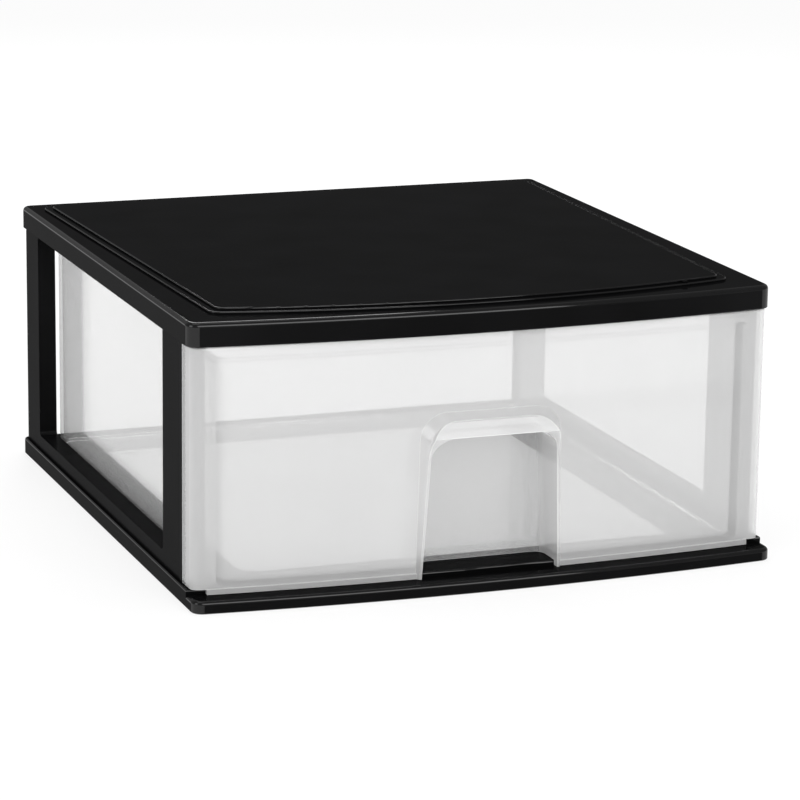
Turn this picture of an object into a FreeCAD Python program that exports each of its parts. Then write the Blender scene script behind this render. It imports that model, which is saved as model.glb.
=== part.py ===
import FreeCAD, Part
import math
import os
import re
import Sketcher

# Stackable drawer box: a black case of four mouldings and a clear drawer.
# +Z is up, the drawer opens towards -Y, and the origin is under the middle of the case, on the table.
# Depths (names in Y) are counted from the foremost point of the base's lip, heights (names in Z) from
# the table. All sizes are millimetres.

document = FreeCAD.newDocument("DrawerBox")

sizes = {
    # case
    "caseHeight": 175.9,        # table to the rim of the cover, which is the pitch of a stack
    "caseWidth": 382,
    "caseDepth": 392.5,         # front corners of the cover to its back
    # top cover
    "coverBow": 12.8,
    "coverWall": 2.5,
    "skirtDrop": 15,
    "coverFrontRound": 8,
    "coverRearRound": 6,
    "coverEdgeRound": 3,
    "skirtBevel": 0.5,
    "stepRise": 1.5,
    "crownRise": 1.5,
    "stepTread": 4.8,
    "plateauFrontSide": 20.5,   # from the cover's side
    "plateauRearSide": 10.4,
    "plateauFrontInset": 20.6,
    "plateauRearInset": 17.3,
    "plateauBow": 21.2,
    "plateauRound": 7,
    "plateauEdgeRound": 0.7,
    "keyWidth": 3.2,
    "keySide": 32.5,            # from the plateau's side
    "keyInset": 1.2,
    "keyRise": 1.1,
    # base
    "baseExtraWidth": 1,        # how much wider than the cover
    "baseLead": 12.5,           # how far its front corners stand before the cover's
    "baseRear": 1,
    "baseBow": 10,
    "lipHeight": 7.8,
    "deckHeight": 11,
    "deckSkin": 2.6,
    "baseFrontRound": 7.5,
    "baseRearRound": 6,
    "lipRound": 2.4,
    "deckEdgeRound": 1.2,
    "footBevel": 0.5,
    "wellSide": 42.5,             # from the cover's side
    "wellFront": 28,            # from the cover's front corners
    "wellRear": 32.5,           # from the back of the cover
    "wellRound": 15,
    "nestGap": 1.2,
    "nestSpare": 0.6,
    "baseRibWall": 1.8,
    "baseRibPitch": 60,
    # side frames
    "frameInset": 2,            # below the skirt, behind the cover's side
    "frameThick": 12,
    "frameWall": 2.5,
    "frameFront": 21,           # from the cover's front corners
    "frameRear": 3.5,           # from the back of the cover
    "frontPost": 38.5,
    "rearPost": 33,
    "sillHeight": 9.5,
    "windowTopRise": 0.6,       # above the skirt's lower edge, so the skirt hides it
    "windowRound": 3,
    "postRound": 1.5,
    "postFrontRound": 3,
    "tongueInset": 4.5,         # behind the frame's outer face
    "tongueThick": 4.9,
    "tongueFront": 3.4,         # from the cover's front corners
    "tongueRound": 4.5,
    "frameRibWall": 1.6,
    "skirtGap": 0.3,
    "snapLength": 20,
    "snapHeight": 3.2,
    "snapReach": 1,
    "snapGap": 0.4,
    "snapPlace": 95,            # from each end of the frame
    "footTabLength": 24,
    "footTabThick": 2.5,
    "footTabDrop": 4.8,
    "footTabInset": 4,
    # drawer
    "panelSideGap": 2.2,        # behind the cover's side
    "panelLead": 8.3,           # foremost point of the panel before the cover's front corners
    "panelBow": 8.9,
    "panelWall": 2.5,
    "panelReturn": 19.5,        # rear end of its side returns, from the cover's front corners
    "panelRound": 6,
    "panelTopGap": 0.6,
    "panelEdgeRound": 0.8,
    "panelGap": 0.4,
    "runGap": 0.3,
    "lipProud": 0.6,
    "lipEndInset": 9.5,
    "lipCover": 3.4,
    "boxSideGap": 3.7,
    "boxWall": 2.5,
    "boxTopGap": 7.9,           # its rim below the skirt
    "boxRearGap": 20.5,         # from the back of the cover
    "boxRearRound": 12,
    "boxFootRound": 5,
    "boxInnerRound": 9.5,
    "boxFloorRound": 4,
    "rimOut": 2,
    "rimThick": 2.4,
    "rimFront": 1.4,            # how far the rim stands in from the panel
    "stopRear": 43.7,           # from the back of the box, which leaves 300 of travel
    "stopWidth": 9,
    "stopInset": 14,
    "stopThick": 4,
    "stopDrop": 3,
    # arch finger pull
    "pullDepth": 24,
    "pullRootWidth": 98,
    "pullRootTop": 113,
    "pullRootRound": 17,
    "pullRootDraft": 1.3,       # degrees
    "pullRimWidth": 92.6,
    "pullRimTop": 108,
    "pullRimRound": 18,
    "pullRimDraft": 2.6,        # degrees
    "pullRimLean": 2.8,         # degrees
    "pullRimReach": 1.6,        # before the panel's foremost point, at the foot
    "pullRimWall": 1.2,
    "gripTop": 98,
    "gripRound": 14,
    "gripReach": 11,
    "gripSpring": 84,
    "pullBackRound": 7,
    # every cut runs past its face by this much
    "overrun": 3,
}

sheet = document.addObject("Spreadsheet::Sheet", "Sizes")
for row, (name, value) in enumerate(sizes.items(), start=1):
    sheet.set("A%d" % row, name)
    sheet.set("B%d" % row, str(value))
    sheet.setAlias("B%d" % row, name)
document.recompute()

# Places and fits that follow from the sizes.
places = {
    "baseWidth": "caseWidth + baseExtraWidth",
    "frontY": "baseLead + baseBow",
    "backY": "frontY + caseDepth",
    "depthAll": "backY + baseRear",
    "skirtZ": "caseHeight - skirtDrop",
    "roofZ": "caseHeight - coverWall",
    "stepZ": "caseHeight + stepRise",
    "crownZ": "stepZ + crownRise",
    "coverRadius": "(caseWidth ^ 2 / 4 + coverBow ^ 2) / (2 * coverBow)",
    "plateauFrontWidth": "caseWidth - 2 * plateauFrontSide",
    "plateauRearWidth": "caseWidth - 2 * plateauRearSide",
    "plateauApexY": "frontY + plateauFrontInset - plateauBow",
    "plateauRadius": "(plateauFrontWidth ^ 2 / 4 + plateauBow ^ 2) / (2 * plateauBow)",
    "plateauRearY": "backY - plateauRearInset",
    "keyX": "plateauFrontWidth / 2 - keySide",
    "hollowWidth": "caseWidth - 2 * coverWall",
    "frameX": "caseWidth / 2 - frameInset",
    "frameFrontY": "frontY + frameFront",
    "frameRearY": "backY - frameRear",
    "windowFrontY": "frameFrontY + frontPost",
    "windowRearY": "frameRearY - rearPost",
    "sillZ": "deckHeight + sillHeight",
    "windowTopZ": "skirtZ + windowTopRise",
    "railX": "hollowWidth / 2 - skirtGap",
    "wellWidth": "caseWidth - 2 * wellSide",
    "wellFrontY": "frontY + wellFront",
    "wellRearY": "backY - wellRear",
    "panelWidth": "caseWidth - 2 * panelSideGap",
    "panelFaceY": "frontY - panelLead",
    "panelRadius": "(panelWidth ^ 2 / 4 + panelBow ^ 2) / (2 * panelBow)",
    "panelRearY": "frontY + panelReturn",
    "drawerZ": "deckHeight + runGap",
    "rimWidth": "boxWidth + 2 * rimOut",
    "panelTopZ": "skirtZ - panelTopGap",
    "lipZ": "lipHeight + runGap",
    "boxWidth": "2 * (frameX - frameThick - boxSideGap)",
    "boxInnerWidth": "boxWidth - 2 * boxWall",
    "boxRearY": "backY - boxRearGap",
    "boxTopZ": "skirtZ - boxTopGap",
    "boxHeight": "boxTopZ - drawerZ",
    "baseRadius": "(baseWidth ^ 2 / 4 + baseBow ^ 2) / (2 * baseBow)",
    "stopY": "boxRearY - stopRear",
    "pullBackY": "panelFaceY + pullDepth",
}


def expression(text):
    # A word of the sheet or of the places gets the name of the object that holds it.
    def owner(match):
        word = match.group()
        if word in sizes:
            return "Sizes." + word
        if word in places:
            return "Places." + word
        return word
    return re.sub("[A-Za-z]+", owner, text)


def bind(thing, path, text):
    thing.setExpression(path, expression(text))


held = document.addObject("App::VarSet", "Places")
for name in places:
    held.addProperty("App::PropertyFloat", name)
for name, text in places.items():
    held.setExpression(name, expression(text).replace("Places.", ""))
document.recompute()


def worth(name):
    return sheet.get(name) if name in sizes else getattr(held, name)


def newBody(name):
    body = document.addObject("PartDesign::Body", name)
    bind(body, "Placement.Base.y", "-depthAll / 2")
    return body


def newSketch(body, name, plane, offset):
    # Upright sketches look along +Y, so their offset towards the back is negative.
    sketch = body.newObject("Sketcher::SketchObject", name)
    origin = [part for part in body.Origin.OriginFeatures if part.Role == plane][0]
    sketch.AttachmentSupport = (origin, "")
    sketch.MapMode = "FlatFace"
    bind(sketch, "AttachmentOffset.Base.z", offset)
    return sketch


def constrain(sketch, kind, *where):
    return sketch.addConstraint(Sketcher.Constraint(kind, *where))


def dimension(sketch, kind, where, name, text, guess):
    index = sketch.addConstraint(Sketcher.Constraint(kind, *where, guess))
    sketch.renameConstraint(index, name)
    bind(sketch, "Constraints." + name, text)


def line(sketch, start, end):
    return sketch.addGeometry(Part.LineSegment(FreeCAD.Vector(*start, 0), FreeCAD.Vector(*end, 0)), False)


def arc(sketch, centre, radius, first, last):
    circle = Part.Circle(FreeCAD.Vector(*centre, 0), FreeCAD.Vector(0, 0, 1), radius)
    return sketch.addGeometry(Part.ArcOfCircle(circle, first, last), False)


def bowedOutline(sketch, frontWidth, rearWidth, apexY, rearY, radius):
    # Plan of a shell: straight sides and back, and a front that is one arc, foremost at its apex.
    half = worth("caseWidth") / 2
    apex = worth("baseBow")
    rear = worth("backY")
    bend = worth("coverRadius")
    spread = math.asin(half / bend)
    front = apex + bend * (1 - math.cos(spread))
    arc(sketch, (0, apex + bend), bend, -math.pi / 2 - spread, -math.pi / 2 + spread)
    line(sketch, (half, front), (half, rear))
    line(sketch, (half, rear), (-half, rear))
    line(sketch, (-half, rear), (-half, front))
    for first, second in ((0, 1), (1, 2), (2, 3), (3, 0)):
        constrain(sketch, "Coincident", first, 2, second, 1)
    constrain(sketch, "Symmetric", 0, 1, 0, 2, -2)
    constrain(sketch, "Symmetric", 2, 1, 2, 2, -2)
    dimension(sketch, "DistanceX", (0, 1, 0, 2), "frontWidth", frontWidth, 2 * half)
    dimension(sketch, "DistanceX", (2, 2, 2, 1), "rearWidth", rearWidth, 2 * half)
    dimension(sketch, "DistanceY", (-1, 1, 0, 3), "centreY", apexY + " + " + radius, apex + bend)
    dimension(sketch, "DistanceY", (-1, 1, 2, 1), "rearY", rearY, rear)
    dimension(sketch, "Radius", (0,), "frontRadius", radius, bend)


def rectangle(sketch, left, right, low, high):
    # Four lines, each held at its own place, so that a sketch can take several.
    first = sketch.GeometryCount
    name = "box%d" % first
    corners = ((0, 0), (worth("overrun"), 0), (worth("overrun"), worth("overrun")), (0, worth("overrun")))
    for start, end in zip(corners, corners[1:] + corners[:1]):
        line(sketch, start, end)
    for step in range(4):
        constrain(sketch, "Coincident", first + step, 2, first + (step + 1) % 4, 1)
    for step, kind in enumerate(("Horizontal", "Vertical", "Horizontal", "Vertical")):
        constrain(sketch, kind, first + step)
    dimension(sketch, "DistanceX", (-1, 1, first, 1), name + "Left", left, 0)
    dimension(sketch, "DistanceX", (-1, 1, first + 1, 1), name + "Right", right, worth("overrun"))
    dimension(sketch, "DistanceY", (-1, 1, first, 1), name + "Low", low, 0)
    dimension(sketch, "DistanceY", (-1, 1, first + 2, 1), name + "High", high, worth("overrun"))


def archOutline(sketch, footWidth, footZ, topZ, round, draft):
    # An upright arch: a level foot, sides that lean in by draft, and a level top with round shoulders.
    half = worth("pullRootWidth") / 2
    low = worth("lipZ")
    high = worth("pullRootTop")
    radius = worth("pullRootRound")
    line(sketch, (-half, low), (half, low))
    line(sketch, (half, low), (half, high - radius))
    arc(sketch, (half - radius, high - radius), radius, 0, math.pi / 2)
    line(sketch, (half - radius, high), (radius - half, high))
    arc(sketch, (radius - half, high - radius), radius, math.pi / 2, math.pi)
    line(sketch, (-half, high - radius), (-half, low))
    constrain(sketch, "Coincident", 0, 2, 1, 1)
    constrain(sketch, "Coincident", 5, 2, 0, 1)
    for first in (1, 2, 3, 4):
        constrain(sketch, "Tangent", first, 2, first + 1, 1)
    constrain(sketch, "Symmetric", 0, 1, 0, 2, -2)
    constrain(sketch, "Symmetric", 1, 2, 5, 1, -2)
    constrain(sketch, "Horizontal", 3)
    dimension(sketch, "DistanceX", (0, 1, 0, 2), "footWidth", footWidth, 2 * half)
    dimension(sketch, "DistanceY", (-1, 1, 0, 2), "footZ", footZ, low)
    dimension(sketch, "DistanceY", (-1, 1, 3, 1), "topZ", topZ, high)
    dimension(sketch, "Radius", (2,), "shoulder", round, radius)
    index = constrain(sketch, "Angle", 1, math.pi / 2)
    sketch.renameConstraint(index, "lean")
    bind(sketch, "Constraints.lean", "90 + " + draft)


def pad(body, sketch, name, length, backwards=False):
    feature = body.newObject("PartDesign::Pad", name)
    feature.Profile = sketch
    feature.Reversed = backwards
    bind(feature, "Length", length)
    return checked(feature)


def pocket(body, sketch, name, depth, upwards=False):
    before = body.Shape.Volume
    feature = body.newObject("PartDesign::Pocket", name)
    feature.Profile = sketch
    feature.Reversed = upwards
    bind(feature, "Length", depth)
    checked(feature)
    if not body.Shape.Volume < before:
        raise ValueError(name + " cuts nothing")
    return feature


def checked(feature):
    document.recompute()
    if "Invalid" in feature.State or "Error" in feature.State or not feature.Shape.Solids:
        raise ValueError(feature.Name + " failed")
    return feature


def edgesWhere(feature, test):
    return ["Edge%d" % number for number, edge in enumerate(feature.Shape.Edges, start=1) if test(edge)]


def soften(body, name, base, test, size, kind="Fillet"):
    # Rounds, or bevels, the edges of base that the test finds.
    found = edgesWhere(base, test)
    if not found:
        raise ValueError(name + " finds no edge")
    feature = body.newObject("PartDesign::" + kind, name)
    feature.Base = (base, found)
    bind(feature, "Radius" if kind == "Fillet" else "Size", size)
    return checked(feature)


def near(first, second):
    return abs(first - second) < worth("skirtGap") / 10


def upright(edge, low=None, high=None):
    # A vertical line, if asked one that starts at low and ends at high.
    box = edge.BoundBox
    straight = near(box.XLength, 0) and near(box.YLength, 0)
    return straight and (low is None or near(box.ZMin, low)) and (high is None or near(box.ZMax, high))


def atHeight(edge, level):
    return near(edge.BoundBox.ZMin, level) and near(edge.BoundBox.ZMax, level)


def middleY(edge):
    return edge.BoundBox.Center.y


def inFront(edge):
    return middleY(edge) < worth("depthAll") / 2


# The top cover: a skirt with a bowed front, and a plateau in two steps that the next box sits over.
cover = newBody("TopCover")
cover.Label = "top_cover"

plan = newSketch(cover, "CoverPlan", "XY_Plane", "skirtZ")
bowedOutline(plan, "caseWidth", "caseWidth", "frontY - coverBow", "backY", "coverRadius")
shell = pad(cover, plan, "CoverShell", "skirtDrop")
shell = soften(cover, "CoverFrontCorners", shell,
               lambda edge: upright(edge) and inFront(edge), "coverFrontRound")
shell = soften(cover, "CoverRearCorners", shell,
               lambda edge: upright(edge) and near(middleY(edge), worth("backY")), "coverRearRound")
shell = soften(cover, "CoverShoulder", shell,
               lambda edge: atHeight(edge, worth("caseHeight")), "coverEdgeRound")
shell = soften(cover, "SkirtBevel", shell,
               lambda edge: atHeight(edge, worth("skirtZ")), "skirtBevel", "Chamfer")

plan = newSketch(cover, "StepPlan", "XY_Plane", "caseHeight")
bowedOutline(plan, "plateauFrontWidth", "plateauRearWidth", "plateauApexY", "plateauRearY", "plateauRadius")
step = pad(cover, plan, "Step", "stepRise")
step = soften(cover, "StepCorners", step, lambda edge: upright(edge, worth("caseHeight"), worth("stepZ")),
              "plateauRound")
step = soften(cover, "StepEdge", step, lambda edge: atHeight(edge, worth("stepZ")), "plateauEdgeRound")

plan = newSketch(cover, "CrownPlan", "XY_Plane", "stepZ")
bowedOutline(plan, "plateauFrontWidth - 2 * stepTread", "plateauRearWidth - 2 * stepTread",
             "plateauApexY + stepTread", "plateauRearY - stepTread", "plateauRadius - stepTread")
crown = pad(cover, plan, "Crown", "crownRise")
crown = soften(cover, "CrownCorners", crown, lambda edge: upright(edge, worth("stepZ"), worth("crownZ")),
               "plateauRound - plateauEdgeRound")
crown = soften(cover, "CrownEdge", crown, lambda edge: atHeight(edge, worth("crownZ")), "plateauEdgeRound")

# A short key runs across the tread of the front step.
plan = newSketch(cover, "KeyPlan", "XY_Plane", "stepZ - plateauEdgeRound")
stepFront = "plateauApexY + plateauRadius - sqrt(plateauRadius ^ 2 - keyX ^ 2)"
rectangle(plan, "keyX - keyWidth / 2", "keyX + keyWidth / 2", stepFront + " + keyInset",
          stepFront + " + stepTread + keyInset")
pad(cover, plan, "Key", "plateauEdgeRound + keyRise")

plan = newSketch(cover, "CoverHollowPlan", "XY_Plane", "skirtZ")
bowedOutline(plan, "hollowWidth", "hollowWidth", "frontY - coverBow + coverWall", "backY - coverWall",
             "coverRadius - coverWall")
hollow = pocket(cover, plan, "CoverHollow", "skirtDrop - coverWall", True)
hollow = soften(cover, "HollowCorners", hollow, lambda edge: upright(edge, worth("skirtZ"), worth("roofZ")),
                "coverRearRound - coverWall")

plan = newSketch(cover, "CrownHollowPlan", "XY_Plane", "roofZ")
bowedOutline(plan, "plateauFrontWidth - 2 * (stepTread + coverWall)",
             "plateauRearWidth - 2 * (stepTread + coverWall)",
             "plateauApexY + stepTread + coverWall", "plateauRearY - stepTread - coverWall",
             "plateauRadius - stepTread - coverWall")
pocket(cover, plan, "CrownHollow", "stepRise + crownRise", True)

# Pockets in the skirt that the snap tabs of the frames click into.
for side, sign in (("Left", "-"), ("Right", "")):
    catch = newSketch(cover, side + "CatchPlan", "YZ_Plane", sign + "hollowWidth / 2")
    for place in ("frameFrontY + snapPlace", "frameRearY - snapPlace"):
        rectangle(catch, place + " - snapLength / 2 - snapGap", place + " + snapLength / 2 + snapGap",
                  "(skirtZ + roofZ - snapHeight) / 2 - snapGap",
                  "(skirtZ + roofZ + snapHeight) / 2 + snapGap")
    pocket(cover, catch, side + "Catches", "snapReach - skirtGap + snapGap", side == "Right")

# The base: a lip with a bowed front, and a deck that the drawer slides on, round an open well.
base = newBody("Base")
base.Label = "base"

plan = newSketch(base, "LipPlan", "XY_Plane", "0")
bowedOutline(plan, "baseWidth", "baseWidth", "0", "depthAll", "baseRadius")
tray = pad(base, plan, "Lip", "lipHeight")
tray = soften(base, "LipFrontCorners", tray, lambda edge: upright(edge) and inFront(edge), "baseFrontRound")
tray = soften(base, "LipEdge", tray,
              lambda edge: atHeight(edge, worth("lipHeight")) and inFront(edge), "lipRound")

plan = newSketch(base, "DeckPlan", "XY_Plane", "lipHeight - lipRound")
bowedOutline(plan, "baseWidth", "baseWidth", "panelFaceY + panelWall + panelGap", "depthAll",
             "panelRadius - panelWall - panelGap")
tray = pad(base, plan, "Deck", "deckHeight - lipHeight + lipRound")
tray = soften(base, "DeckRearCorners", tray,
              lambda edge: upright(edge) and near(middleY(edge), worth("depthAll")), "baseRearRound")
tray = soften(base, "DeckEdge", tray, lambda edge: atHeight(edge, worth("deckHeight")), "deckEdgeRound")
tray = soften(base, "FootBevel", tray, lambda edge: atHeight(edge, 0), "footBevel", "Chamfer")

plan = newSketch(base, "WellPlan", "XY_Plane", "deckHeight")
rectangle(plan, "-wellWidth / 2", "wellWidth / 2", "wellFrontY", "wellRearY")
well = pocket(base, plan, "Well", "deckHeight")
soften(base, "WellCorners", well, lambda edge: upright(edge, 0, worth("deckHeight")), "wellRound")

# The recess under the base drops over the plateau of the box below.
plan = newSketch(base, "NestPlan", "XY_Plane", "0")
bowedOutline(plan, "plateauFrontWidth + 2 * nestGap", "plateauRearWidth + 2 * nestGap",
             "plateauApexY - nestGap", "plateauRearY + nestGap", "plateauRadius + nestGap")
nest = pocket(base, plan, "Nest", "stepRise + crownRise + nestSpare", True)

# Above it the side bars and the front and rear bars are hollow, with ribs across.
plan = newSketch(base, "BarHollowPlan", "XY_Plane", "stepRise + crownRise + nestSpare")
barInner = "wellWidth / 2 + deckSkin"
barOuter = "plateauFrontWidth / 2 - deckSkin"
rectangle(plan, barInner, barOuter, "wellFrontY", "wellRearY")
rectangle(plan, "-(" + barOuter + ")", "-(" + barInner + ")", "wellFrontY", "wellRearY")
pocket(base, plan, "BarHollow", "deckHeight - deckSkin - stepRise - crownRise - nestSpare", True)

ribPlan = newSketch(base, "BarRibPlan", "XY_Plane", "stepRise + crownRise + nestSpare")
for turn in ("-2", "-1", "0", "1", "2"):
    middle = "(wellFrontY + wellRearY) / 2 + " + turn + " * baseRibPitch"
    for left, right in ((barInner, barOuter), ("-(" + barOuter + ")", "-(" + barInner + ")")):
        rectangle(ribPlan, left, right, middle + " - baseRibWall / 2", middle + " + baseRibWall / 2")
pad(base, ribPlan, "BarRibs", "deckHeight - deckSkin / 2 - stepRise - crownRise - nestSpare")

# Sockets for the tabs under the frames.
sockets = newSketch(base, "SocketPlan", "XY_Plane", "deckHeight")
for place in ("frameFrontY + snapPlace", "frameRearY - snapPlace"):
    outer = "frameX - footTabInset + runGap"
    inner = "frameX - footTabInset - footTabThick - runGap"
    for left, right in ((inner, outer), ("-(" + outer + ")", "-(" + inner + ")")):
        rectangle(sockets, left, right, place + " - footTabLength / 2 - runGap",
                  place + " + footTabLength / 2 + runGap")
pocket(base, sockets, "Sockets", "footTabDrop + runGap")

# A side frame: a channel section round the window, open to the inside, with its rail inside the skirt.
frame = newBody("LeftSideFrame")
frame.Label = "left_side_frame"

face = newSketch(frame, "FrameFace", "YZ_Plane", "-frameX")
rectangle(face, "frameFrontY", "frameRearY", "deckHeight", "roofZ")
plate = pad(frame, face, "FramePlate", "frameThick")

face = newSketch(frame, "WindowFace", "YZ_Plane", "-frameX")
rectangle(face, "windowFrontY", "windowRearY", "sillZ", "windowTopZ")
plate = pocket(frame, face, "Window", "frameThick", True)


def windowCorner(edge):
    box = edge.BoundBox
    across = near(box.YLength, 0) and near(box.ZLength, 0)
    inside = worth("frameFrontY") < box.Center.y < worth("frameRearY")
    ends = near(box.Center.y, worth("frameFrontY")) or near(box.Center.y, worth("frameRearY"))
    return across and inside and not ends


def outerPost(edge):
    onFace = near(edge.BoundBox.Center.x, -worth("frameX"))
    return onFace and upright(edge, worth("deckHeight"), worth("skirtZ"))


plate = soften(frame, "WindowCorners", plate, windowCorner, "windowRound")
face = newSketch(frame, "RailFace", "YZ_Plane", "-frameX")
rectangle(face, "frameFrontY - overrun", "frameRearY + overrun", "skirtZ", "roofZ + overrun")
plate = pocket(frame, face, "RailRebate", "frameX - railX", True)
plate = soften(frame, "RailCorners", plate,
               lambda edge: upright(edge, worth("skirtZ"), worth("roofZ"))
               and near(edge.BoundBox.Center.x, -worth("railX")), "coverRearRound - coverWall + skirtGap")
plate = soften(frame, "PostFrontEdge", plate,
               lambda edge: outerPost(edge) and near(middleY(edge), worth("frameFrontY")), "postFrontRound")
plate = soften(frame, "PostRearEdge", plate,
               lambda edge: outerPost(edge) and near(middleY(edge), worth("frameRearY")), "postRound")

face = newSketch(frame, "ChannelFace", "YZ_Plane", "frameThick - frameX")
rectangle(face, "frameFrontY + frameWall", "frameRearY - frameWall", "deckHeight + frameWall",
          "roofZ - frameWall")
rectangle(face, "windowFrontY - frameWall", "windowRearY + frameWall", "sillZ - frameWall",
          "windowTopZ + frameWall")
pocket(frame, face, "Channel", "frameThick - 2 * frameWall")

ribFace = newSketch(frame, "FrameRibFace", "YZ_Plane", "frameWall - frameX")
for share in ("1 / 4", "2 / 4", "3 / 4"):
    level = "sillZ + (windowTopZ - sillZ) * " + share
    for first, last in (("frameFrontY + frameWall / 2", "windowFrontY - frameWall / 2"),
                        ("windowRearY + frameWall / 2", "frameRearY - frameWall / 2")):
        rectangle(ribFace, first, last, level + " - frameRibWall / 2", level + " + frameRibWall / 2")
pad(frame, ribFace, "FrameRibs", "frameThick - 2 * frameWall")

face = newSketch(frame, "SnapFace", "YZ_Plane", "-railX")
for place in ("frameFrontY + snapPlace", "frameRearY - snapPlace"):
    rectangle(face, place + " - snapLength / 2", place + " + snapLength / 2",
              "(skirtZ + roofZ - snapHeight) / 2", "(skirtZ + roofZ + snapHeight) / 2")
pad(frame, face, "SnapTabs", "snapReach", True)

plan = newSketch(frame, "FootTabPlan", "XY_Plane", "deckHeight")
for place in ("frameFrontY + snapPlace", "frameRearY - snapPlace"):
    rectangle(plan, "footTabInset - frameX", "footTabInset + footTabThick - frameX",
              place + " - footTabLength / 2", place + " + footTabLength / 2")
pad(frame, plan, "FootTabs", "footTabDrop", True)

# A tongue runs forward from the post, inside the side return of the drawer's panel.
face = newSketch(frame, "TongueFace", "YZ_Plane", "tongueInset - frameX")
rectangle(face, "frontY + tongueFront", "frameFrontY + frameWall / 2", "deckHeight", "skirtZ - skirtGap")
tongue = pad(frame, face, "Tongue", "tongueThick")
soften(frame, "TongueEdge", tongue,
       lambda edge: near(middleY(edge), worth("frontY") + worth("tongueFront"))
       and near(edge.BoundBox.Center.x, worth("tongueInset") - worth("frameX")), "tongueRound")

mirrored = document.addObject("Part::Mirroring", "RightSideFrame")
mirrored.Label = "right_side_frame"
mirrored.Source = frame
mirrored.Normal = (1, 0, 0)
document.recompute()

# The drawer: a bowed overlay front with short side returns, and the box behind it.
panelBlock = newBody("PanelBlock")
plan = newSketch(panelBlock, "PanelPlan", "XY_Plane", "drawerZ")
bowedOutline(plan, "panelWidth", "panelWidth", "panelFaceY", "panelRearY", "panelRadius")
panel = pad(panelBlock, plan, "Panel", "panelTopZ - drawerZ")
panel = soften(panelBlock, "PanelCorners", panel,
               lambda edge: upright(edge) and not near(middleY(edge), worth("panelRearY")), "panelRound")
panel = soften(panelBlock, "PanelEdge", panel,
               lambda edge: atHeight(edge, worth("panelTopZ"))
               and not near(middleY(edge), worth("panelRearY")), "panelEdgeRound")

# The lip under the panel hangs before the base's riser.
plan = newSketch(panelBlock, "HangPlan", "XY_Plane", "lipZ")
hangWidth = "panelWidth - 2 * lipEndInset"
bowedOutline(plan, hangWidth, hangWidth, "panelFaceY - lipProud", "panelRearY", "panelRadius + lipProud")
pad(panelBlock, plan, "Hang", "lipCover")

panelSpace = newBody("PanelSpace")
plan = newSketch(panelSpace, "PanelSpacePlan", "XY_Plane", "lipZ - overrun")
bowedOutline(plan, "panelWidth - 2 * panelWall", "panelWidth - 2 * panelWall", "panelFaceY + panelWall",
             "panelRearY + overrun", "panelRadius - panelWall")
space = pad(panelSpace, plan, "PanelSpaceBlock", "panelTopZ - lipZ + 2 * overrun")
soften(panelSpace, "PanelSpaceCorners", space,
       lambda edge: upright(edge) and middleY(edge) < worth("panelRearY"), "panelRound - panelWall")

boxBlock = newBody("BoxBlock")
plan = newSketch(boxBlock, "BoxPlan", "XY_Plane", "drawerZ")
bowedOutline(plan, "boxWidth", "boxWidth", "panelFaceY + panelWall / 2", "boxRearY",
             "panelRadius - panelWall / 2")
box = pad(boxBlock, plan, "Box", "boxHeight")
box = soften(boxBlock, "BoxRearCorners", box,
             lambda edge: upright(edge) and near(middleY(edge), worth("boxRearY")), "boxRearRound")
box = soften(boxBlock, "BoxFoot", box,
             lambda edge: atHeight(edge, worth("drawerZ"))
             and middleY(edge) > worth("panelRearY"), "boxFootRound")

plan = newSketch(boxBlock, "RimPlan", "XY_Plane", "boxTopZ - rimThick")
bowedOutline(plan, "rimWidth", "rimWidth", "panelFaceY + panelWall / 2", "boxRearY + rimOut",
             "panelRadius - panelWall / 2")
box = pad(boxBlock, plan, "Rim", "rimThick")
soften(boxBlock, "RimCorners", box,
       lambda edge: upright(edge)
       and near(middleY(edge), worth("boxRearY") + worth("rimOut")), "boxRearRound")

# Stops under the floor meet the front bar of the base when the drawer is out.
plan = newSketch(boxBlock, "StopPlan", "XY_Plane", "drawerZ - stopDrop")
outer = "wellWidth / 2 - stopInset"
inner = "wellWidth / 2 - stopInset - stopWidth"
for left, right in ((inner, outer), ("-(" + outer + ")", "-(" + inner + ")")):
    rectangle(plan, left, right, "stopY", "stopY + stopThick")
pad(boxBlock, plan, "Stops", "stopDrop + boxWall / 2")

# The room inside the box, with round corners and a round edge to its floor.
room = newBody("DrawerRoom")
plan = newSketch(room, "RoomPlan", "XY_Plane", "drawerZ + boxWall")
bowedOutline(plan, "boxInnerWidth", "boxInnerWidth", "panelFaceY + panelWall", "boxRearY - boxWall",
             "panelRadius - panelWall")
space = pad(room, plan, "Room", "boxHeight - boxWall")
space = soften(room, "RoomCorners", space, upright, "boxInnerRound")
soften(room, "RoomFloorEdge", space, lambda edge: atHeight(edge, worth("drawerZ") + worth("boxWall")),
       "boxFloorRound")


def cutAway(name, base, tool):
    result = document.addObject("Part::Cut", name)
    result.Base = base
    result.Tool = tool
    return checked(result)


panelShell = cutAway("PanelShell", panelBlock, panelSpace)
openBox = cutAway("OpenBox", boxBlock, room)

# The rim goes on along the inside of the panel.
rimBlock = newBody("FrontRimBlock")
plan = newSketch(rimBlock, "FrontRimPlan", "XY_Plane", "boxTopZ - rimThick")
bowedOutline(plan, "rimWidth", "rimWidth", "panelFaceY + panelWall / 2", "panelRearY",
             "panelRadius - panelWall / 2")
pad(rimBlock, plan, "FrontRimPad", "rimThick")
rimSpace = newBody("FrontRimSpace")
plan = newSketch(rimSpace, "FrontRimSpacePlan", "XY_Plane", "boxTopZ - rimThick - overrun")
bowedOutline(plan, "rimWidth + 2 * overrun", "rimWidth + 2 * overrun", "panelFaceY + panelWall + rimFront",
             "panelRearY + overrun", "panelRadius - panelWall - rimFront")
pad(rimSpace, plan, "FrontRimSpacePad", "rimThick + 2 * overrun")
frontRim = cutAway("FrontRim", rimBlock, rimSpace)

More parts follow.
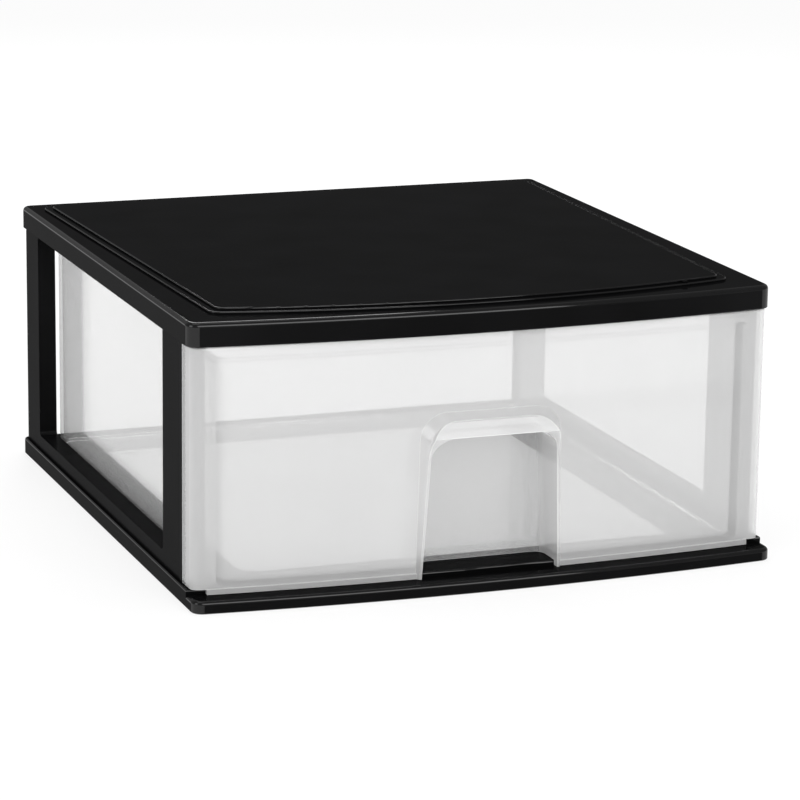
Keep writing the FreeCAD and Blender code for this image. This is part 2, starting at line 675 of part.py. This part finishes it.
# The arch finger pull: a housing behind the panel, a leaning rim before it and a grip across its top.
housing = newBody("PullHousing")
plan = newSketch(housing, "HousingFace", "XZ_Plane", "-(panelFaceY + panelWall / 2)")
archOutline(plan, "pullRimWidth + 2 * (boxWall - pullRimWall)", "drawerZ", "gripTop + boxWall",
            "gripRound + boxWall", "pullRimDraft")
pad(housing, plan, "Housing", "pullDepth + boxWall - panelWall / 2", True)

rim = newBody("PullRim")
rootFace = newSketch(rim, "PullRootFace", "XZ_Plane", "-(panelFaceY + panelWall * 3 / 4)")
archOutline(rootFace, "pullRootWidth", "lipZ", "pullRootTop", "pullRootRound", "pullRootDraft")
rimFace = newSketch(rim, "PullRimFace", "XZ_Plane", "pullRimReach - panelFaceY")
rimFace.AttachmentOffset = FreeCAD.Placement(FreeCAD.Vector(), FreeCAD.Rotation(FreeCAD.Vector(1, 0, 0), 1))
bind(rimFace, "AttachmentOffset.Rotation.Angle", "pullRimLean")
archOutline(rimFace, "pullRimWidth", "lipZ", "pullRimTop", "pullRimRound", "pullRimDraft")
loft = rim.newObject("PartDesign::AdditiveLoft", "RimLoft")
loft.Profile = rootFace
loft.Sections = [rimFace]
loft.Ruled = True
document.recompute()

arch = newBody("GripArch")
plan = newSketch(arch, "GripArchFace", "XZ_Plane", "-panelFaceY")
archOutline(plan, "pullRimWidth", "lipZ", "pullRimTop", "pullRimRound", "pullRimDraft")
pad(arch, plan, "GripArchBlock", "gripReach + overrun")

nose = newBody("GripNose")
side = newSketch(nose, "GripSide", "YZ_Plane", "-pullRootWidth / 2")
noseCorners = (("panelFaceY", "pullRimTop"),
               ("panelFaceY - pullRimReach - (gripReach - pullRimReach) / 2", "pullRimTop"),
               ("panelFaceY - gripReach", "gripTop"),
               ("panelFaceY - pullRimReach - (gripReach - pullRimReach) / 3", "gripSpring"),
               ("panelFaceY", "gripSpring"))
# The sketch starts as a round of five places, and the dimensions then move them to the corners.
turn = 2 * math.pi / len(noseCorners)
reach = worth("gripReach")
starts = [(reach * math.cos(turn * number), worth("gripTop") + reach * math.sin(turn * number))
          for number in range(len(noseCorners))]
for start, end in zip(starts, starts[1:] + starts[:1]):
    line(side, start, end)
for number, (depth, height) in enumerate(noseCorners):
    constrain(side, "Coincident", number, 2, (number + 1) % len(noseCorners), 1)
    dimension(side, "DistanceX", (-1, 1, number, 1), "depth%d" % number, depth, starts[number][0])
    dimension(side, "DistanceY", (-1, 1, number, 1), "height%d" % number, height, starts[number][1])
pad(nose, side, "GripNoseBlock", "pullRootWidth")

grip = document.addObject("Part::Common", "Grip")
grip.Base = arch
grip.Tool = nose

recess = newBody("PullRecess")
plan = newSketch(recess, "RecessFace", "XZ_Plane", "-pullBackY")
archOutline(plan, "pullRimWidth - 2 * pullRimWall", "lipZ - overrun", "gripTop", "gripRound", "pullRimDraft")
tool = pad(recess, plan, "RecessBlock", "pullDepth + gripReach + overrun")
soften(recess, "RecessBack", tool,
       lambda edge: near(edge.BoundBox.YLength, 0) and near(middleY(edge), worth("pullBackY"))
       and edge.BoundBox.ZMin > worth("lipZ") - worth("overrun") / 2, "pullBackRound")

whole = document.addObject("Part::MultiFuse", "DrawerWithPull")
whole.Shapes = [panelShell, openBox, frontRim, housing, rim, grip]
opened = cutAway("Drawer", whole, recess)
opened.Label = "drawer"

parts = [cover, base, frame, mirrored, opened]

for thing in document.Objects:
    if "Invalid" in thing.State or "Error" in thing.State:
        raise ValueError("%s failed: %s" % (thing.Name, thing.State))
for part in parts:
    if part.Shape.isNull() or not part.Shape.isValid() or len(part.Shape.Solids) != 1:
        raise ValueError(part.Label + " isn't one valid solid")

os.makedirs("parts", exist_ok=True)
for part in parts:
    part.Shape.exportStep("parts/" + part.Label + ".step")
    box = part.Shape.BoundBox
    print("%-18s solids %d  volume %.0f  x %.1f..%.1f  y %.1f..%.1f  z %.1f..%.1f" % (
        part.Label, len(part.Shape.Solids), part.Shape.Volume, box.XMin, box.XMax, box.YMin, box.YMax,
        box.ZMin, box.ZMax))
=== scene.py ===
import math

import bpy
from mathutils import Matrix, Vector

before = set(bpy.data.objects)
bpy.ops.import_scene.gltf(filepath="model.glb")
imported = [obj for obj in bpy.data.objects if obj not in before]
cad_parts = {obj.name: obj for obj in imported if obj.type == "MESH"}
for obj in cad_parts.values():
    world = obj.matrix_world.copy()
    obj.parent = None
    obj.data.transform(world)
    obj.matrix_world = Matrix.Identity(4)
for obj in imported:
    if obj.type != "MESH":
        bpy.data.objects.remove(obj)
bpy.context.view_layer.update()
print("frame loaded:", ", ".join(sorted(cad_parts)))

mm = 0.001
white = (1, 1, 1, 1)


def hexColour(text):
    # sRGB hex to the linear values that the shaders work in
    channels = [int(text[place:place + 2], 16) / 255 for place in (1, 3, 5)]
    linear = [c / 12.92 if c <= 0.04045 else ((c + 0.055) / 1.055) ** 2.4 for c in channels]
    return (*linear, 1)


def addNode(tree, kind, links=(), **settings):
    # one node: in_Some_Name sets the input "Some Name", and links are (input, output that feeds it)
    node = tree.nodes.new(kind)
    for name, value in settings.items():
        if name.startswith("in_"):
            node.inputs[name[3:].replace("_", " ")].default_value = value
        else:
            setattr(node, name, value)
    for socket, source in links:
        tree.links.new(node.inputs[socket], source)
    return node


def newMaterial(name):
    material = bpy.data.materials.new(name)
    material.use_nodes = True
    tree = material.node_tree
    tree.nodes.clear()
    return material, tree, tree.nodes.new("ShaderNodeOutputMaterial")


# Floor, white to the eye, with a part of its own shading so that the box keeps its shadow
stageLook = {
    "floorSize": 14.0,          # m
    "floorColour": "#f4f4f4",
    "floorDrop": 0.2,           # mm under the base, so that the two share no plane
    "whiteLevel": 1.0,          # strength that shows as plain white
    "shadowShare": 0.22,        # how much of the floor's own shading is seen
}


def makeFloor(look):
    mesh = bpy.data.meshes.new("floor")
    half = look["floorSize"] / 2
    corners = [(-half, -half, 0), (half, -half, 0), (half, half, 0), (-half, half, 0)]
    mesh.from_pydata(corners, [], [(0, 1, 2, 3)])
    floor = bpy.data.objects.new("floor", mesh)
    bpy.context.scene.collection.objects.link(floor)
    floor.location.z = -look["floorDrop"] * mm
    material, tree, output = newMaterial("paintedFloor")
    matt = addNode(tree, "ShaderNodeBsdfDiffuse", in_Color=hexColour(look["floorColour"]))
    plain = addNode(tree, "ShaderNodeEmission", in_Color=white, in_Strength=look["whiteLevel"])
    seen = addNode(tree, "ShaderNodeMixShader", [(1, plain.outputs[0]), (2, matt.outputs[0])],
                   in_Fac=look["shadowShare"])
    # the eye, the gloss and the clear drawer see the white floor, and the lamps light a matt one
    path = addNode(tree, "ShaderNodeLightPath")
    direct = addNode(tree, "ShaderNodeMath",
                     [(0, path.outputs["Is Camera Ray"]), (1, path.outputs["Is Glossy Ray"])],
                     operation="MAXIMUM")
    looking = addNode(tree, "ShaderNodeMath",
                      [(0, direct.outputs[0]), (1, path.outputs["Is Transmission Ray"])],
                      operation="MAXIMUM")
    shader = addNode(tree, "ShaderNodeMixShader",
                     [(0, looking.outputs[0]), (1, matt.outputs[0]), (2, seen.outputs[0])])
    tree.links.new(output.inputs["Surface"], shader.outputs[0])
    mesh.materials.append(material)


# Studio round the box
studio = {
    "ambient": 0.86,            # world light on the object
    "background": 1.0,          # plain white, seen directly and through the drawer
    "wall": 1.0,                # what gloss shows of the backdrop just over the horizon
    "ceiling": 0.30,            # what gloss shows of the studio higher up
    "wallTop": 0.02,            # sine of the height where the backdrop ends
    "ceilingFrom": 0.05,        # sine of the height where the ceiling's level is reached
}


def makeWorld(look):
    world = bpy.data.worlds.new("studio")
    world.use_nodes = True
    tree = world.node_tree
    tree.nodes.clear()
    output = tree.nodes.new("ShaderNodeOutputWorld")
    place = addNode(tree, "ShaderNodeTexCoord")
    split = addNode(tree, "ShaderNodeSeparateXYZ", [(0, place.outputs["Generated"])])
    height = addNode(tree, "ShaderNodeMapRange", [(0, split.outputs["Z"])],
                     in_From_Min=look["wallTop"], in_From_Max=look["ceilingFrom"],
                     in_To_Min=look["wall"], in_To_Max=look["ceiling"])
    mirrored = addNode(tree, "ShaderNodeBackground", [("Strength", height.outputs[0])], in_Color=white)
    light = addNode(tree, "ShaderNodeBackground", in_Color=white, in_Strength=look["ambient"])
    seen = addNode(tree, "ShaderNodeBackground", in_Color=white, in_Strength=look["background"])
    path = addNode(tree, "ShaderNodeLightPath")
    unseen = addNode(tree, "ShaderNodeMixShader",
                     [(0, path.outputs["Is Glossy Ray"]), (1, light.outputs[0]), (2, mirrored.outputs[0])])
    looking = addNode(tree, "ShaderNodeMath",
                      [(0, path.outputs["Is Camera Ray"]), (1, path.outputs["Is Transmission Ray"])],
                      operation="MAXIMUM")
    every = addNode(tree, "ShaderNodeMixShader",
                    [(0, looking.outputs[0]), (1, unseen.outputs[0]), (2, seen.outputs[0])])
    tree.links.new(output.inputs["Surface"], every.outputs[0])
    bpy.context.scene.world = world


# Large soft lamps: places and sizes in metres, power in watts
lamps = {
    "keyFront": {"place": (0.3, -3.0, 1.8), "size": (2.6, 1.6), "power": 46},
    "topSoft": {"place": (-0.3, 0.2, 2.6), "size": (2.2, 1.6), "power": 10},
    "fillLeft": {"place": (-2.4, -0.6, 1.1), "size": (1.2, 1.2), "power": 12},
    "softBehind": {"place": (0.40, 1.6, 1.16), "size": (0.6, 0.7), "power": 13},
}
lampAim = Vector((0, 0, 0.08))  # the middle of the box


def makeLamps(looks, aim):
    for name, look in looks.items():
        light = bpy.data.lights.new(name, "AREA")
        light.shape = "RECTANGLE"
        light.size, light.size_y = look["size"]
        light.energy = look["power"]
        lamp = bpy.data.objects.new(name, light)
        lamp.location = look["place"]
        lamp.rotation_euler = (aim - lamp.location).to_track_quat("-Z", "Y").to_euler()
        bpy.context.scene.collection.objects.link(lamp)


# Camera, at the photograph's angle
view = {
    "place": (-0.7823, -2.1164, 0.6280),
    "azimuth": 20.59,           # degrees to the left of straight in front
    "elevation": 13.84,
    "roll": 0.78,
    "lens": 157.73,             # mm
    "sensor": 36.0,             # mm
}


def makeCamera(look):
    data = bpy.data.cameras.new("photoCamera")
    data.sensor_width = look["sensor"]
    data.lens = look["lens"]
    azimuth, elevation, roll = (math.radians(look[key]) for key in ("azimuth", "elevation", "roll"))
    back = Vector((-math.sin(azimuth) * math.cos(elevation), -math.cos(azimuth) * math.cos(elevation),
                   math.sin(elevation)))
    right = Vector((math.cos(azimuth), -math.sin(azimuth), 0))
    up = back.cross(right)
    turned = Matrix((right, up, back)).transposed() @ Matrix.Rotation(roll, 3, "Z")
    camera = bpy.data.objects.new("photoCamera", data)
    camera.matrix_world = Matrix.Translation(look["place"]) @ turned.to_4x4()
    bpy.context.scene.collection.objects.link(camera)
    bpy.context.scene.camera = camera


makeWorld(studio)
makeFloor(stageLook)
makeLamps(lamps, lampAim)
makeCamera(view)
bpy.context.scene.view_settings.view_transform = "Standard"
print("stage, lamps and camera ready")


# Black case
# High-impact polystyrene, injection moulded. A thin clear shine lies over a deep black body: faint on
# the flat faces, crisp on the rounded edges, with the slow ripple that a large wall keeps as it cools
blackPlastic = {
    "ior": 1.55,
    "specular": 0.0,            # the body is left without gloss, so all of it comes from the shine
    "roughnessSpread": 0.06,    # how far the grain moves the roughness either way
    "rippleDetail": 1.5,
    "grainDetail": 2.0,
    "flatFrom": 0.998,          # largest part of the direction, above which a face counts as flat
    "roundFrom": 0.97,          # and below which it counts as a rounded edge
}

# The cover and the base come from a polished tool, whose edges draw bright thin lines
polishedPlastic = {
    **blackPlastic,
    "name": "mouldedBlackPolystyrenePolished",
    "colour": "#060606",
    "colourPale": "#0d0d0e",    # the ripple's paler swells
    "roughness": 0.42,
    "shine": 0.09,
    "edgeShine": 0.80,
    "shineRoughness": 0.07,
    "ripple": 38.0,             # mm between the swells
    "rippleHeight": 0.03,       # mm
    "grain": 0.9,               # mm, coarser than the real polish marks so that it shows
    "grainHeight": 0.002,       # mm
}

# The frames come from a duller tool, so their faces hold a soft grey sheen and no mirror image
satinPlastic = {
    **blackPlastic,
    "name": "mouldedBlackPolystyreneSatin",
    "colour": "#0a0a0a",
    "colourPale": "#121213",
    "roughness": 0.5,
    "shine": 0.08,
    "edgeShine": 0.30,
    "shineRoughness": 0.22,
    "ripple": 46.0,
    "rippleHeight": 0.02,
    "grain": 0.7,
    "grainHeight": 0.004,
}


def edgeMask(tree, flatFrom, roundFrom):
    # 0 on the flat faces and 1 on the rounded edges between them, from the surface's own direction
    place = addNode(tree, "ShaderNodeTexCoord")
    turned = addNode(tree, "ShaderNodeVectorMath", [(0, place.outputs["Normal"])], operation="ABSOLUTE")
    parts = addNode(tree, "ShaderNodeSeparateXYZ", [(0, turned.outputs[0])])
    sideways = addNode(tree, "ShaderNodeMath", [(0, parts.outputs["X"]), (1, parts.outputs["Y"])],
                       operation="MAXIMUM")
    most = addNode(tree, "ShaderNodeMath", [(0, sideways.outputs[0]), (1, parts.outputs["Z"])],
                   operation="MAXIMUM")
    return addNode(tree, "ShaderNodeMapRange", [(0, most.outputs[0])], interpolation_type="SMOOTHSTEP",
                   in_From_Min=flatFrom, in_From_Max=roundFrom)


def makeBlackPlastic(look):
    material, tree, output = newMaterial(look["name"])
    place = addNode(tree, "ShaderNodeTexCoord")
    ripple = addNode(tree, "ShaderNodeTexNoise", [("Vector", place.outputs["Object"])],
                     in_Scale=1 / (look["ripple"] * mm), in_Detail=look["rippleDetail"])
    grain = addNode(tree, "ShaderNodeTexNoise", [("Vector", place.outputs["Object"])],
                    in_Scale=1 / (look["grain"] * mm), in_Detail=look["grainDetail"])
    tint = addNode(tree, "ShaderNodeMix", [(0, ripple.outputs["Fac"])], data_type="RGBA")
    tint.inputs[6].default_value = hexColour(look["colour"])
    tint.inputs[7].default_value = hexColour(look["colourPale"])
    matt = addNode(tree, "ShaderNodeMapRange", [(0, grain.outputs["Fac"])],
                   in_To_Min=look["roughness"] - look["roughnessSpread"],
                   in_To_Max=look["roughness"] + look["roughnessSpread"])
    swell = addNode(tree, "ShaderNodeBump", [("Height", ripple.outputs["Fac"])],
                    in_Strength=1.0, in_Distance=look["rippleHeight"] * mm)
    bump = addNode(tree, "ShaderNodeBump",
                   [("Height", grain.outputs["Fac"]), ("Normal", swell.outputs[0])],
                   in_Strength=1.0, in_Distance=look["grainHeight"] * mm)
    edges = edgeMask(tree, look["flatFrom"], look["roundFrom"])
    coat = addNode(tree, "ShaderNodeMapRange", [(0, edges.outputs[0])],
                   in_To_Min=look["shine"], in_To_Max=look["edgeShine"])
    shader = addNode(tree, "ShaderNodeBsdfPrincipled",
                     [("Base Color", tint.outputs[2]), ("Roughness", matt.outputs[0]),
                      ("Normal", bump.outputs[0]), ("Coat Normal", swell.outputs[0]),
                      ("Coat Weight", coat.outputs[0])],
                     in_IOR=look["ior"], in_Specular_IOR_Level=look["specular"],
                     in_Coat_Roughness=look["shineRoughness"])
    tree.links.new(output.inputs["Surface"], shader.outputs[0])
    return material


# Clear drawer
# Clarified polypropylene, injection moulded: colourless, with a milky veil that thickens where the eye
# looks along the wall, a gloss on both faces, and painted highlight lines of extra veil along the edges
clearPlastic = {
    "colour": "#f0f0f0",
    "veil": 0.19,               # share of light that one face of the box scatters, seen straight on
    "veilFront": 0.39,          # the same in the thick overlay front
    "frontEnds": -170.0,        # mm, where the thick front ends, on the drawer's own Y
    "frontBlend": 4.0,          # mm, over which it passes into the box
    "veilEdge": 1.18,           # how much more veil where the face is seen edge on
    "slantBlend": 0.35,         # how early that starts as the face turns away
    "cloud": 0.06,              # how much the melt's flow varies the veil, either way
    "flow": 60.0,               # mm between the flow lines of the melt
    "flowDetail": 2.0,
    "paintedHighlightLine": 0.9,               # mm from an edge that the painted highlight line reaches
    "paintedHighlightSamples": 4,
    "paintedHighlightFrom": 0.99,          # agreement of the two directions where an edge's painted highlight line starts
    "paintedHighlightFull": 0.80,          # and where it is full
    "paintedHighlightVeil": 0.75,          # the veil in that painted highlight line
    "through": 0.22,            # share of the scattered light that comes out on the far side
    "roughness": 0.10,
    "ior": 1.49,
}


def makeClearPlastic(look):
    material, tree, output = newMaterial("mouldedClearPolypropylene")
    place = addNode(tree, "ShaderNodeTexCoord")
    split = addNode(tree, "ShaderNodeSeparateXYZ", [(0, place.outputs["Object"])])
    depth = addNode(tree, "ShaderNodeMapRange", [(0, split.outputs["Y"])],
                    in_From_Min=(look["frontEnds"] - look["frontBlend"]) * mm,
                    in_From_Max=look["frontEnds"] * mm,
                    in_To_Min=look["veilFront"], in_To_Max=look["veil"])
    facing = addNode(tree, "ShaderNodeLayerWeight", in_Blend=look["slantBlend"])
    slant = addNode(tree, "ShaderNodeMapRange", [(0, facing.outputs["Facing"])],
                    in_To_Min=1.0, in_To_Max=look["veilEdge"])
    veil = addNode(tree, "ShaderNodeMath", [(0, depth.outputs[0]), (1, slant.outputs[0])],
                   operation="MULTIPLY")
    flow = addNode(tree, "ShaderNodeTexNoise", [("Vector", place.outputs["Object"])],
                   in_Scale=1 / (look["flow"] * mm), in_Detail=look["flowDetail"])
    cloud = addNode(tree, "ShaderNodeMapRange", [(0, flow.outputs["Fac"])],
                    in_To_Min=1 - look["cloud"], in_To_Max=1 + look["cloud"])
    milky = addNode(tree, "ShaderNodeMath", [(0, veil.outputs[0]), (1, cloud.outputs[0])],
                    operation="MULTIPLY")
    # painted highlight: the edges are drawn as fine pale lines of extra veil, in place of the bright
    # glints on their small rounds
    side = addNode(tree, "ShaderNodeNewGeometry")
    rounded = addNode(tree, "ShaderNodeBevel", samples=look["paintedHighlightSamples"], in_Radius=look["paintedHighlightLine"] * mm)
    agree = addNode(tree, "ShaderNodeVectorMath", [(0, rounded.outputs[0]), (1, side.outputs["Normal"])],
                    operation="DOT_PRODUCT")
    paintedHighlightLine = addNode(tree, "ShaderNodeMapRange", [(0, agree.outputs["Value"])],
                    in_From_Min=look["paintedHighlightFrom"], in_From_Max=look["paintedHighlightFull"],
                    in_To_Max=look["paintedHighlightVeil"])
    share = addNode(tree, "ShaderNodeMath", [(0, milky.outputs[0]), (1, paintedHighlightLine.outputs[0])],
                    operation="MAXIMUM")
    clear = addNode(tree, "ShaderNodeBsdfTransparent", in_Color=white)
    front = addNode(tree, "ShaderNodeBsdfDiffuse", in_Color=hexColour(look["colour"]))
    back = addNode(tree, "ShaderNodeBsdfTranslucent", in_Color=hexColour(look["colour"]))
    milk = addNode(tree, "ShaderNodeMixShader", [(1, front.outputs[0]), (2, back.outputs[0])],
                   in_Fac=look["through"])
    body = addNode(tree, "ShaderNodeMixShader",
                   [(0, share.outputs[0]), (1, clear.outputs[0]), (2, milk.outputs[0])])
    # the inner faces reflect like the outer ones, as the ray isn't bent inside the wall
    ratio = addNode(tree, "ShaderNodeMapRange", [(0, side.outputs["Backfacing"])],
                    in_To_Min=look["ior"], in_To_Max=1 / look["ior"])
    mirror = addNode(tree, "ShaderNodeFresnel", [("IOR", ratio.outputs[0])])
    gloss = addNode(tree, "ShaderNodeBsdfGlossy", in_Color=white, in_Roughness=look["roughness"])
    shader = addNode(tree, "ShaderNodeMixShader",
                     [(0, mirror.outputs[0]), (1, body.outputs[0]), (2, gloss.outputs[0])])
    tree.links.new(output.inputs["Surface"], shader.outputs[0])
    return material


polished = makeBlackPlastic(polishedPlastic)
satin = makeBlackPlastic(satinPlastic)
finishes = {
    "top_cover": polished,
    "base": polished,
    "left_side_frame": satin,
    "right_side_frame": satin,
    "drawer": makeClearPlastic(clearPlastic),
}
for name, finish in finishes.items():
    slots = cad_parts[name].data.materials
    slots.clear()
    slots.append(finish)
print("materials on every node")
